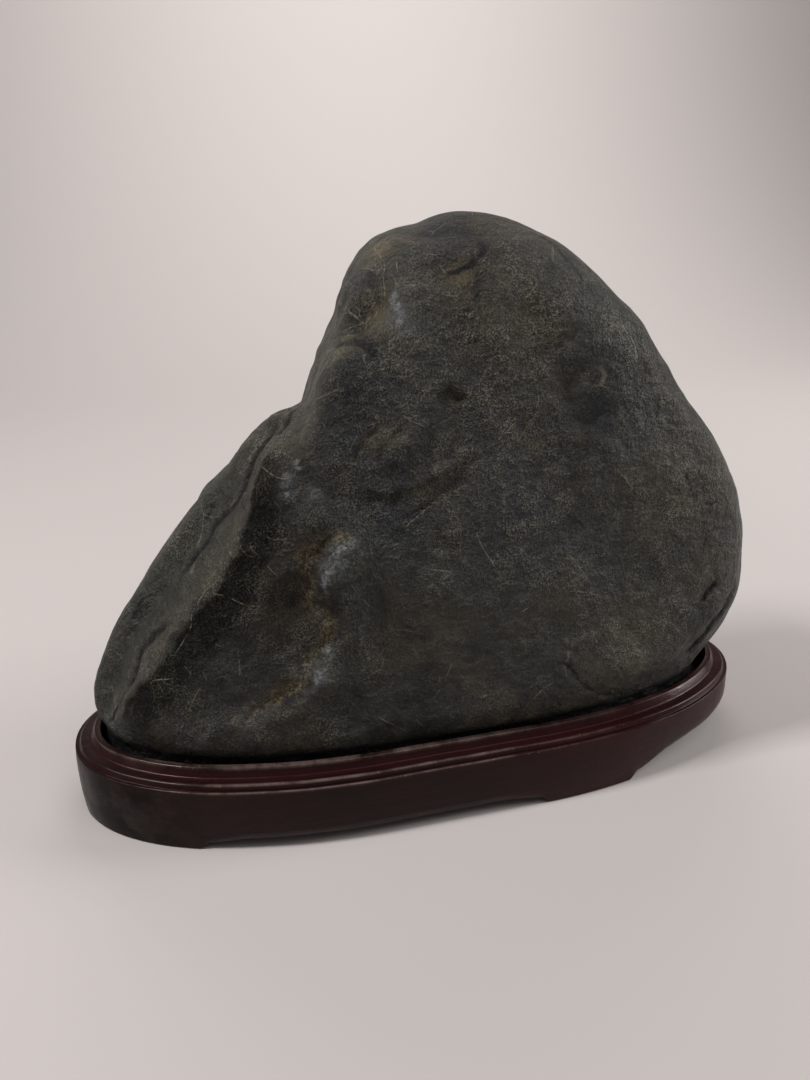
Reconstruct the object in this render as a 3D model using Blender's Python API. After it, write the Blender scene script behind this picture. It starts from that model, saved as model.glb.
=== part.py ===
# A water-worn scholar's rock seated in its carved wooden stand.
# Two solids: the stone, and the one-piece stand with its moulded rim and four feet.
# Frame: metres, +Z up, origin on the ground under the middle of the stand,
# +X along the stand towards the stone's shoulder, -Y towards the stone's front face.

import math

import bmesh
import bpy
import numpy as np

MM = 0.001
COLLECTION_NAME = "scholars_rock"

# Plan of the stand, in millimetres: an oval with straight middles on its long sides.
STAND_LENGTH = 256.0
STAND_WIDTH = 98.0
STRAIGHT_HALF_LENGTH = 26.0
CORNER_FULLNESS = 2.12
STAND_COLUMNS = 112

# Heights of the stand, in millimetres above the ground.
FOOT_GAP = 2.6
APRON_TOP = 23.2
RIM_TOP = 27.7
SEAT_FLOOR = 15.0
SEAT_INSET = 9.8

# Feet: the spans of the outline that reach the ground, as compass bearings in degrees
# about the middle of the stand (0 is +X, 90 is +Y).
FOOT_SPANS = ((-175.0, -155.5), (-58.0, -35.0), (35.0, 58.0), (157.0, 178.5))
FOOT_DEPTH = 12.0
FOOT_FADE_DEGREES = 2.5
FOOT_EDGE_ROUND = 0.8
APRON_EDGE_ROUND = 4.5

# The stone: three worn lumps grown into one, measured from a shared core point.
STONE_CORE = (0.0, 0.0, 75.0)
STONE_SUBDIVISIONS = 5
STONE_SPREAD = (115.0, 52.0, 100.0)
EDGE_SHARPNESS = 13.0
JOIN_SHARPNESS = 22.0
FOOT_SHARPNESS = 40.0
SEAT_CLEARANCE = 1.0
STONE_GAP = 0.3
FLARE_ABOVE_RIM = 0.5
LONGEST_REACH = 400.0

# Each worn face: the bearing it looks towards, its tilt above level, and its distance
# from the core point in millimetres.
SUMMIT_FACES = {
    "front": (-93, 5, 37.5),
    "front_right": (-54, 4, 93),
    "right_slope": (-8, 42, 104.5),
    "right_side": (-8, 4, 124),
    "right_undercut": (-10, -30, 121),
    "summit": (170, 84, 127),
    "summit_right": (0, 62, 125),
    "summit_front": (-84, 42, 95),
    "summit_back": (86, 38, 93),
    "head_left_upper": (180, 52, 95.5),
    "head_left_front": (-131, 43, 91),
    "head_left": (172, 21, 60),
    "back": (87, 5, 38),
    "back_right": (50, 6, 86),
}
BUTTRESS_FACES = {
    "front": (-94, 6, 37.8),
    "front_left": (-120, 5, 76),
    "front_left_toe": (-148, 6, 111),
    "left_facet": (-172, 34, 76.5),
    "left_toe": (180, 8, 124),
    "top": (-40, 74, 51),
    "right": (0, 34, 40),
    "back": (90, 5, 9),
}
SLOPE_FACES = {
    "front": (-97, 3, 14.5),
    "left_slope_upper": (178, 47, 74),
    "left_slope": (178, 33, 87.5),
    "left_toe": (180, 12, 124),
    "saddle": (0, 80, 46.5),
    "right": (0, 34, 40),
    "back": (95, 8, 37),
    "back_left": (142, 12, 90),
}


def clear_scene():
    for item in list(bpy.data.objects):
        bpy.data.objects.remove(item, do_unlink=True)


def make_collection(name):
    collection = bpy.data.collections.new(name)
    bpy.context.scene.collection.children.link(collection)
    return collection


def make_material(name, colour, roughness, metallic=0.0):
    material = bpy.data.materials.new(name)
    material.use_nodes = True
    shader = material.node_tree.nodes["Principled BSDF"]
    shader.inputs["Base Color"].default_value = (*colour, 1.0)
    shader.inputs["Roughness"].default_value = roughness
    shader.inputs["Metallic"].default_value = metallic
    return material


def make_object(name, bm, material, collection, sharp_degrees):
    mesh = bpy.data.meshes.new(name)
    bm.to_mesh(mesh)
    bm.free()
    mesh.shade_smooth()
    mesh.set_sharp_from_angle(angle=math.radians(sharp_degrees))
    mesh.materials.append(material)
    item = bpy.data.objects.new(name, mesh)
    collection.objects.link(item)
    return item


# ---- the stand ----

def signed_power(value, power):
    return math.copysign(abs(value) ** power, value)


def outline_point(turn):
    """The stand's outline at a turn in radians; 0 is the +X end."""
    half_length = STAND_LENGTH / 2 - STRAIGHT_HALF_LENGTH
    half_width = STAND_WIDTH / 2
    power = 2 / CORNER_FULLNESS
    across = signed_power(math.cos(turn), power) * half_length
    along = signed_power(math.sin(turn), power) * half_width
    shift = math.copysign(STRAIGHT_HALF_LENGTH, math.cos(turn))
    return across + shift, along


def evenly_spaced(points, count):
    """Points at equal steps along a closed polyline."""
    loop = np.array(points + points[:1])
    steps = np.linalg.norm(np.diff(loop, axis=0), axis=1)
    reached = np.concatenate(([0.0], np.cumsum(steps)))
    wanted = np.arange(count) * reached[-1] / count
    return np.stack([np.interp(wanted, reached, loop[:, axis]) for axis in (0, 1)], axis=1)


def outline_columns(count):
    """Evenly spaced outline points and their outward normals."""
    fine = [outline_point(2 * math.pi * i / 2400 + 1e-6) for i in range(2400)]
    points = evenly_spaced(fine, count)
    along = np.roll(points, -1, axis=0) - np.roll(points, 1, axis=0)
    normals = np.stack([along[:, 1], -along[:, 0]], axis=1)
    normals /= np.linalg.norm(normals, axis=1, keepdims=True)
    return points, normals


def smooth_step(value):
    value = min(max(value, 0.0), 1.0)
    return value * value * (3 - 2 * value)


def foot_share(bearing):
    """1 on a foot, 0 under the apron, with a soft run between them."""
    share = 0.0
    for first, last in FOOT_SPANS:
        inside = min(bearing - first, last - bearing)
        share = max(share, smooth_step(inside / FOOT_FADE_DEGREES + 0.5))
    return share


def stand_profile(share):
    """Offsets from the outline and heights, from the underside round to the seat floor."""
    bottom = FOOT_GAP * (1 - share)
    edge = APRON_EDGE_ROUND + (FOOT_EDGE_ROUND - APRON_EDGE_ROUND) * share
    half_turn = math.sqrt(0.5)
    return [
        (-FOOT_DEPTH - 2.0, FOOT_GAP),
        (-FOOT_DEPTH, bottom),
        (-edge, bottom),
        (-edge * (1 - half_turn), bottom + edge * (1 - half_turn)),
        (0.0, bottom + edge),
        (0.4, 13.0),
        (0.0, APRON_TOP - 0.7),
        (-0.7, APRON_TOP),
        (-1.6, APRON_TOP - 0.5),
        (-2.0, APRON_TOP + 1.0),
        (-3.2, APRON_TOP + 1.7),
        (-4.4, APRON_TOP + 1.2),
        (-6.2, APRON_TOP + 2.4),
        (-7.0, RIM_TOP - 0.3),
        (-7.4, RIM_TOP),
        (-8.6, RIM_TOP),
        (-9.2, RIM_TOP - 0.6),
        (-SEAT_INSET, SEAT_FLOOR),
    ]


def add_fan(bm, ring, height, faces_up):
    centre = bm.verts.new((0.0, 0.0, height))
    for index, vertex in enumerate(ring):
        following = ring[(index + 1) % len(ring)]
        corners = (vertex, following, centre) if faces_up else (following, vertex, centre)
        bm.faces.new(corners)


def build_stand(collection):
    bm = bmesh.new()
    points, normals = outline_columns(STAND_COLUMNS)
    columns = []
    for (x, y), (nx, ny) in zip(points, normals):
        share = foot_share(math.degrees(math.atan2(y, x)))
        column = []
        for offset, height in stand_profile(share):
            place = ((x + nx * offset) * MM, (y + ny * offset) * MM, height * MM)
            column.append(bm.verts.new(place))
        columns.append(column)
    rows = len(columns[0])
    for index, column in enumerate(columns):
        following = columns[(index + 1) % len(columns)]
        for row in range(rows - 1):
            bm.faces.new((column[row], following[row], following[row + 1], column[row + 1]))
    add_fan(bm, [column[0] for column in columns], FOOT_GAP * MM, faces_up=False)
    add_fan(bm, [column[-1] for column in columns], SEAT_FLOOR * MM, faces_up=True)
    wood = make_material("lacquered_rosewood", (0.018, 0.007, 0.006), 0.38)
    return make_object("stand", bm, wood, collection, sharp_degrees=35)


# ---- the stone ----

def lump_reach(directions, faces):
    """How far each direction runs from the core before the soft meeting of the faces."""
    total = np.zeros(len(directions))
    for bearing, tilt, distance in faces.values():
        turn = math.radians(bearing)
        rise = math.radians(tilt)
        normal = (math.cos(turn) * math.cos(rise), math.sin(turn) * math.cos(rise), math.sin(rise))
        total += np.maximum(0.0, directions @ np.array(normal) / distance) ** EDGE_SHARPNESS
    return total ** (-1 / EDGE_SHARPNESS)


def seat_reach(directions):
    """How far each direction runs before it meets the bowl that flares up out of the seat."""
    inset = SEAT_INSET + SEAT_CLEARANCE
    half_length = STAND_LENGTH / 2 - STRAIGHT_HALF_LENGTH - inset
    half_width = STAND_WIDTH / 2 - inset
    core = np.array(STONE_CORE)
    near = np.zeros(len(directions))
    far = np.full(len(directions), LONGEST_REACH)
    for _ in range(40):
        middle = (near + far) / 2
        places = core + directions * middle[:, None]
        flare = FLARE_ABOVE_RIM * np.maximum(places[:, 2] - RIM_TOP, 0.0)
        beyond = np.maximum(np.abs(places[:, 0]) - STRAIGHT_HALF_LENGTH, 0.0)
        wide = np.hypot(beyond / (half_length + flare), places[:, 1] / (half_width + flare))
        deep = places[:, 2] < SEAT_FLOOR + STONE_GAP
        outside = (wide > 1.0) | deep
        far = np.where(outside, middle, far)
        near = np.where(outside, near, middle)
    return near


def soft_most(reaches, sharpness):
    return sum(reach ** sharpness for reach in reaches) ** (1 / sharpness)


def soft_least(reaches, sharpness):
    return sum(reach ** -sharpness for reach in reaches) ** (-1 / sharpness)


def build_stone(collection):
    bm = bmesh.new()
    bmesh.ops.create_icosphere(bm, subdivisions=STONE_SUBDIVISIONS, radius=1.0)
    directions = np.array([vertex.co[:] for vertex in bm.verts]) * STONE_SPREAD
    directions /= np.linalg.norm(directions, axis=1, keepdims=True)
    summit = lump_reach(directions, SUMMIT_FACES)
    buttress = lump_reach(directions, BUTTRESS_FACES)
    slope = lump_reach(directions, SLOPE_FACES)
    joined = soft_most((summit, buttress, slope), JOIN_SHARPNESS)
    reach = soft_least((joined, seat_reach(directions)), FOOT_SHARPNESS)
    places = np.array(STONE_CORE) + directions * reach[:, None]
    for vertex, place in zip(bm.verts, places):
        vertex.co = place * MM
    bmesh.ops.recalc_face_normals(bm, faces=bm.faces)
    rock = make_material("charcoal_stone", (0.022, 0.022, 0.021), 0.5)
    return make_object("stone", bm, rock, collection, sharp_degrees=60)


clear_scene()
rock_collection = make_collection(COLLECTION_NAME)
build_stand(rock_collection)
build_stone(rock_collection)
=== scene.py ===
import math

import bmesh
import bpy
import numpy as np
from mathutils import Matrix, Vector


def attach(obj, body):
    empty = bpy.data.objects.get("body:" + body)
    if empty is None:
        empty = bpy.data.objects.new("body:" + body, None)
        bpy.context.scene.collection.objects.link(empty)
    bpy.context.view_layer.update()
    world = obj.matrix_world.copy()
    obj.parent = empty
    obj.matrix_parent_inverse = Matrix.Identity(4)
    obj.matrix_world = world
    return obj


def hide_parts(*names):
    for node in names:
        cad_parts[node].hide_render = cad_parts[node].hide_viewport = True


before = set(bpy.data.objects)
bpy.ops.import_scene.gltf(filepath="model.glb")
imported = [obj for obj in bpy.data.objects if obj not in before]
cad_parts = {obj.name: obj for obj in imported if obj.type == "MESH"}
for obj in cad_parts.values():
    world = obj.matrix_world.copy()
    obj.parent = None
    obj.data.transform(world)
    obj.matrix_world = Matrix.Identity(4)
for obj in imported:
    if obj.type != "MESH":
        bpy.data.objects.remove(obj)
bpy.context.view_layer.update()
mm = 0.001
print("packed model loaded")


def hexToLinear(hexColour):
    channels = []
    for start in (1, 3, 5):
        value = int(hexColour[start:start + 2], 16) / 255
        channels.append(value / 12.92 if value <= 0.04045 else ((value + 0.055) / 1.055) ** 2.4)
    return (*channels, 1.0)


def addNode(tree, kind, settings=None):  # a setting that is a socket is linked, any other is set
    node = tree.nodes.new(kind)
    for name, value in (settings or {}).items():
        if isinstance(value, bpy.types.NodeSocket):
            tree.links.new(value, node.inputs[name])
        elif isinstance(name, str) and hasattr(node, name):
            setattr(node, name, value)
        else:
            node.inputs[name].default_value = value
    return node


# turns a recipe into nodes: a name is a stored mask, three numbers are noise (cell in mm, detail, roughness),
# ("EASE", recipe, low, high, top) eases it up to top, and (operation, recipe, recipe) is a sum of others
def addRecipe(tree, recipe):
    if isinstance(recipe, str):
        return addNode(tree, "ShaderNodeAttribute", {"attribute_name": recipe}).outputs["Fac"]
    if not isinstance(recipe, tuple):
        return recipe
    first, *rest = recipe
    if first == "EASE":
        source, low, high, top = rest
        return addNode(tree, "ShaderNodeMapRange", {
            "interpolation_type": "SMOOTHSTEP", "Value": addRecipe(tree, source),
            "From Min": low, "From Max": high, "To Max": top}).outputs["Result"]
    if isinstance(first, str):
        sockets = {index: addRecipe(tree, part) for index, part in enumerate(rest)}
        return addNode(tree, "ShaderNodeMath", {"operation": first, **sockets}).outputs[0]
    detail, roughness = rest
    place = addNode(tree, "ShaderNodeTexCoord").outputs["Object"]
    return addNode(tree, "ShaderNodeTexNoise", {
        "Scale": 1000 / first, "Detail": detail, "Roughness": roughness, "Vector": place}).outputs["Fac"]


def startMaterial(name):
    material = bpy.data.materials.new(name)
    material.use_nodes = True
    return material, material.node_tree, material.node_tree.nodes["Principled BSDF"]


def paintLayers(tree, finish, base, layers):  # each layer is a tone laid over the ones before by its share
    colour = hexToLinear(finish[base])
    for tone, share in layers:
        over = hexToLinear(finish[tone])
        colour = addNode(tree, "ShaderNodeMix", {
            "data_type": "RGBA", 0: addRecipe(tree, share), 6: colour, 7: over}).outputs[2]
    return colour


def stackBumps(tree, bumps):  # each bump is a strength, a depth in millimetres and a height
    below = {}
    for strength, depthMm, height in bumps:
        bump = addNode(tree, "ShaderNodeBump", {
            "Strength": addRecipe(tree, strength), "Distance": depthMm * mm,
            "Height": addRecipe(tree, height), **below})
        below = {"Normal": bump.outputs["Normal"]}
    return below["Normal"]


def softStep(low, high, value):
    share = np.clip((value - low) / (high - low), 0, 1)
    return share * share * (3 - 2 * share)


def bell(value, width):
    return np.exp(-(value / width) ** 2)


def pebbleNoise(places, cell, seed):  # smooth gradient noise, about -1 to 1, cell in millimetres
    lattice = np.random.default_rng(seed).normal(size=(24, 24, 24, 3))
    lattice /= np.linalg.norm(lattice, axis=-1, keepdims=True)
    scaled = places / cell + 100.5
    corner = np.floor(scaled).astype(int)
    part = scaled - corner
    blend = part ** 3 * (part * (part * 6 - 15) + 10)
    total = np.zeros(len(places))
    for step in np.ndindex(2, 2, 2):
        slope = lattice[tuple(((corner + step) % 24).T)]
        weight = np.prod(np.where(step, blend, 1 - blend), axis=1)
        total += weight * np.sum(slope * (part - step), axis=1)
    return total * 1.6


def faceNormals(places, quads):
    first = places[quads[:, 2]] - places[quads[:, 0]]
    second = places[quads[:, 3]] - places[quads[:, 1]]
    return np.cross(first, second)


def pointNormals(places, quads):
    across = faceNormals(places, quads)
    total = np.zeros_like(places)
    for corner in range(4):
        for axis in range(3):
            total[:, axis] += np.bincount(quads[:, corner], across[:, axis], len(places))
    return total / np.linalg.norm(total, axis=1, keepdims=True)


def linkedObject(name, points, edges=(), faces=()):
    mesh = bpy.data.meshes.new(name)
    mesh.from_pydata(points, edges, faces)
    mesh.shade_smooth()
    piece = bpy.data.objects.new(name, mesh)
    bpy.context.scene.collection.objects.link(piece)
    return piece


def storeMask(piece, name, values):
    layer = piece.data.attributes.new(name, "FLOAT", "POINT")
    layer.data.foreach_set("value", np.asarray(values, dtype=np.float32))


# the stone: lengths in millimetres, bearings in degrees
stoneShape = {
    "core": (0.0, 0.0, 75.0),
    "spread": (118.0, 42.0, 96.0),
    "gridSteps": (178, 64, 146),
    "edgeSharpness": 13,
    "joinSharpness": 22,
    "footSharpness": 40,
    "seatHalfLength": 117.2,
    "seatHalfWidth": 38.2,
    "seatStraight": 26.0,
    "seatFloor": 15.3,
    "rimTop": 27.7,
    "flareAboveRim": 0.5,
    "longestReach": 400.0,
    "plainBelow": (24, 34),
    # painted shadow: the stone darkens from the first height down to the second, just above the stand's rim
    "seatShadowBelow": (33.5, 28.5),
    "summitFaces": (  # bearing, tilt and distance from the core of each worn face
        (-93, 5, 37.5), (-54, 4, 93), (-8, 42, 104.5), (-8, 4, 124), (-10, -30, 121), (170, 84, 127),
        (0, 62, 125), (-84, 42, 95), (86, 38, 93), (180, 52, 95.5), (-131, 43, 91), (172, 21, 60),
        (87, 5, 38), (50, 6, 86),
    ),
    "buttressFaces": (
        (-94, 6, 37.8), (-120, 5, 76), (-148, 6, 111), (-172, 34, 76.5), (180, 8, 124), (-40, 74, 51),
        (0, 34, 40), (90, 5, 9),
    ),
    "slopeFaces": (
        (-97, 3, 14.5), (178, 47, 74), (178, 33, 87.5), (180, 12, 124), (0, 80, 46.5), (0, 34, 40),
        (95, 8, 37), (142, 12, 90),
    ),
    "roughness": ((38.0, 1.3), (17.0, 1.0), (8.0, 0.45), (3.6, 0.16)),  # cell and height
    "scoopCell": 24.0,
    "scoopDepth": 1.5,
    "wander": ((7.0, 1.1, 31), (3.0, 0.88, 41)),  # how marks stray from their paths: cell, amount and seed
    "veinHalfWidth": 0.7,
}

# marks on the stone, in millimetres: each path runs over the surface through the points given
rustPath = ((-32, -34.6, 102), (-36.6, -34.3, 102.4), (-41, -34, 102.5), (-44.5, -34, 99), (-49, -34, 95.3),
            (-47.4, -35, 89), (-48, -35.4, 83), (-43.7, -36, 79.4), (-42, -36.7, 73.4), (-45, -37, 67.8),
            (-51, -37.3, 61.6), (-52.7, -37.6, 56.6), (-57, -37.7, 53.2), (-62.5, -37.6, 50.3),
            (-69, -37.3, 47), (-77, -36.3, 43.1))
ridgePath = ((-49.7, -19, 131.7), (-56, -18.3, 125.7), (-61.4, -22.4, 116.3), (-65.3, -25.7, 108.2),
             (-69, -27.7, 99.6), (-75, -28.2, 89.8), (-84, -26.3, 78.9), (-93.7, -24.3, 65),
             (-102, -21, 52.5), (-113, -11.3, 35.4))
stoneCracks = {  # dark grooves: path, half width and depth
    "notch": (((-46, -2, 136.5), (-47.6, -5, 135.3), (-50.2, -9.7, 132.8), (-52.7, -13.7, 130.2)),
              0.8, 1.0),
    "sideSplit": (((-49, -3, 135), (-56.5, -10, 126.6), (-62, -13.5, 117.8), (-67.6, -13, 109.8),
                   (-73, -10.5, 102.5), (-76.2, -12, 97.4), (-81, -10.8, 90.4), (-87.4, -10, 81)),
                  1.4, 1.4),
    "sideSplitLow": (((-89.6, -19, 75), (-97.8, -15.4, 63.4), (-102.6, -16.6, 54.6), (-107.5, -13.2, 47.5)),
                     1.3, 1.3),
    "toeGroove": (((-105, -15.5, 50), (-110, -12, 40), (-115.4, -5.9, 32)), 0.7, 0.7),
    "sideNick": (((-104, -1, 66), (-98.5, -1.4, 74), (-93.9, -2.8, 77.6)), 0.6, 0.9),
    "sideNickLow": (((-105.6, -2.2, 60), (-101, -2, 66), (-97.5, -3, 71)), 0.5, 0.5),
    "shoulderNick": (((75.6, -37.4, 115.7), (78.4, -38, 109.6), (80.7, -38.5, 105.7)), 0.6, 0.8),
    "shoulderNickLow": (((83.6, -38.3, 105.8), (86.9, -38, 104.1), (89.6, -37.5, 104.6)), 0.6, 0.8),
    "lowSplit": (((30.5, -43.2, 53), (36, -43.6, 52), (41.8, -44.2, 46.4), (49.3, -42.1, 38.3),
                  (60.3, -37.5, 32)), 0.6, 0.8),
    "rightSlot": (((93.4, -40.2, 75.2), (89.3, -41.2, 71.3), (86.7, -41.7, 67)), 1.0, 1.0),
    "rightGroove": (((104, -36, 71), (96.8, -39.1, 59.5), (93.2, -37.5, 51), (91.4, -32.1, 38.6)),
                    2.0, 2.2),
    "rightGrooveLow": (((95.7, -38.7, 56.3), (92.6, -35.1, 45.5), (87.1, -35, 41)), 1.1, 1.1),
    "headGroove": (((-33, -14, 156), (-30.9, -20.2, 157.4), (-26.2, -25.6, 158), (-25.9, -27.4, 153)),
                   1.3, 1.1),
    "shoulderCrust": (((22.7, -15.6, 186.3), (28.6, -17.5, 183.6), (32, -22.2, 179.2), (36.1, -25.6, 174.3),
                       (40, -28.1, 168.7)), 0.5, 0.5),
    "topGroove": (((7.6, -18, 185), (9.2, -21.5, 182.6), (2, -24, 178.6), (-3.2, -23.3, 177.3)), 0.8, 0.6),
    "backSplit": (((60, 36, 150), (40, 37, 128), (28, 38, 104), (24, 38, 84)), 0.9, 1.1),
    "backGroove": (((-60, 38, 92), (-38, 40, 84), (-18, 40, 70), (4, 41, 62)), 1.3, 1.1),
    "backNick": (((78, 40, 92), (84, 38, 80), (82, 38, 66)), 0.8, 0.8),
}
stoneFlutes = {  # shallow rubbed hollows and, with a negative depth, worn crests
    "first": (((-25, -35.4, 98), (-15.6, -35, 107), (-7, -34.8, 114.2), (1, -34.3, 120.6), (9, -34, 128)),
              1.2, 0.9),
    "second": (((-23.5, -34.9, 104.4), (-11, -34.9, 111.4), (2, -34, 118)), 1.0, 0.5),
    "rustGroove": (rustPath, 1.1, 0.9),
    "knobEdge": (((-37, -34.3, 101.8), (-43, -34.3, 97.5), (-46, -35, 91), (-46, -35.4, 85),
                  (-42.5, -36, 79)), 1.0, 0.9),
    "shoulderGroove": (((-31, -32, 121), (-25, -31.9, 127.5), (-15, -31.7, 134.5)), 1.9, 1.0),
    "swellGroove": (((-24, -33, 114.8), (-14, -33.8, 116.4), (-7, -33.9, 121), (0, -33.2, 127.5)),
                    1.6, 0.9),
    "valley": (((12.5, -26.7, 175), (23, -29.5, 167.5), (28.5, -31.8, 154.6), (36, -33.7, 141),
                (46.6, -35, 132.7)), 7.0, 1.7),
    "ridge": (ridgePath, 2.6, -1.3),
    "knobCrest": (((-30.8, -34.7, 101.1), (-35.1, -34.4, 101.4), (-38.8, -34.4, 99.8), (-41.3, -34.5, 97.2),
                   (-43.4, -34.7, 93.5), (-43.6, -35, 90), (-42.4, -35.4, 86.4)), 1.5, -1.2),
    "bossSeam": (((-30.9, -33.4, 114.5), (-25.5, -33.8, 113.9), (-18.1, -34.2, 114.3),
                  (-11.6, -34.4, 116.1), (-5.3, -34.2, 119.3), (1.5, -33.7, 124.3)), 0.9, 0.9),
    "lens": (((-34.1, -32.1, 124.1), (-31.5, -31.6, 128.6), (-28.4, -31.3, 132), (-24.4, -31.2, 134.4)),
             1.1, 0.9),
    "lensUpper": (((-27.6, -32.7, 123.1), (-23.4, -32, 128.8), (-18.7, -31.5, 134.4),
                   (-16.2, -31.3, 137.2)), 1.0, 0.7),
    "swellCrest": (((-10, -34, 119), (-3.6, -33.6, 123.9), (3, -33.4, 128)), 1.3, -0.9),
    "headCrest": (((-14, -21, 173), (-17, -24.1, 168.6), (-18.4, -26.2, 164), (-19.4, -27.4, 159)),
                  2.6, -1.8),
}
stoneSteps = {  # path, shift to its right, sharpness, reach and height; the ground to the right stands higher
    "rustStep": (rustPath, 2.6, 1.3, 9.0, 2.8),
    "swellStep": (((-33, -33, 117.8), (-28.5, -33.5, 114.8), (-21, -34, 114.3), (-14, -34.3, 115.4),
                   (-6.8, -34, 119.6), (-0.4, -33.6, 124.8)), 0.0, 1.4, 6.0, 1.5),
    "shadedFlank": (((-51, -30, 124), (-58, -31, 108), (-66, -32.5, 94), (-75, -32, 80), (-86, -30, 64),
               (-98, -25, 44)), 0.0, 5.0, 10.0, 1.6),
    "lowStep": (((66, -34.6, 27), (49.3, -42.1, 38.3), (41.8, -44.2, 46.4), (30.5, -43.2, 53)),
                0.0, 1.2, 5.0, 0.8),
}
stoneMounds = (  # place, half widths along and up the surface, turn in degrees, rise
    ((-38.2, -34.8, 93.5), 4.8, 9.4, -32, 4.6),
    ((-54, -36, 76), 8.0, 15.0, -12, -2.0),
    ((-21, -32, 128.7), 11.0, 4.2, 36, 2.0),
    ((-4, -34, 121.6), 10.0, 2.8, 33, 0.8),
    ((-51.8, -29.9, 118.8), 1.8, 2.6, -30, 0.8),
    ((-44.8, -32.1, 115.8), 2.4, 1.8, 10, 0.9),
    ((-54, -30.4, 112.5), 1.6, 3.0, -20, 0.7),
    ((-46, -37, 58), 5.0, 4.0, 20, 1.0),
    ((-24, -17, 167), 6.5, 7.5, 0, -5.2),
    ((-31, -24, 150), 5.0, 6.0, 0, 1.2),
    ((-74, -1.5, 107.8), 2.4, 2.2, 0, 1.3),
    ((-52, -3, 133), 3.5, 2.5, 0, 1.5),
    ((-17.5, 4, 177), 22.0, 15.5, 0, 5.2),
    ((44, -22, 168), 28.0, 31.0, 0, 3.9),
    ((-88, 0, 88), 18.0, 44.0, 0, 2.0),
    ((-60, -5, 121), 10.0, 8.0, 0, 1.8),
    ((-104, -2, 63), 14.0, 12.0, 0, 1.7),
    ((2, -24, 179), 13.0, 5.0, 15, -1.2),
    ((2, -14, 186), 9.0, 5.0, 0, -0.8),
    ((6, 0, 190), 34.0, 26.0, 0, 1.9),
    ((10, -28, 168), 8.0, 12.0, 10, 0.9),
    ((52, -34, 118), 16.0, 12.0, 0, 0.8),
    ((0.5, -31.7, 142.8), 2.4, 1.1, -15, -1.4),
    ((-3, -31.7, 143.2), 4.0, 2.6, 0, -0.7),
    ((72, -38, 100), 16.0, 22.0, 0, 0.9),
    ((40, -40, 78), 22.0, 10.0, -12, 0.9),
    ((40, 34, 120), 20.0, 30.0, -20, -1.6),
    ((-30, 38, 60), 24.0, 14.0, 15, -1.4),
)
stoneSeams = (  # rusty lines: path, width and strength
    (rustPath, 2.3, 1.0),
    (stoneFlutes["bossSeam"][0], 0.8, 0.5),
    (stoneFlutes["lens"][0], 1.2, 0.35),
)
stoneGlints = (  # painted highlights along small crests: path, width and strength
    (stoneFlutes["knobCrest"][0], 1.1, 1.0),
    (((-52.3, -28.2, 122.4), (-52, -29.5, 119.4), (-51.7, -30.6, 115.7)), 0.9, 1.0),
    (((-49.3, -27.9, 127), (-48.8, -29.4, 124.4)), 0.7, 1.0),
    (((-45.9, -31.8, 116.9), (-44.6, -32.3, 114.4)), 0.9, 1.0),
    (((-43.4, -37.2, 66.7), (-43.9, -37.6, 62.7)), 1.0, 1.0),
    (((-45.6, -37.7, 60.8), (-48.6, -37.8, 57.7)), 1.2, 1.0),
    (((-17.5, -22, 170.5), (-17.3, -24.7, 167.4), (-17.5, -26.5, 163.7)), 1.1, 1.0),
)
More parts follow.
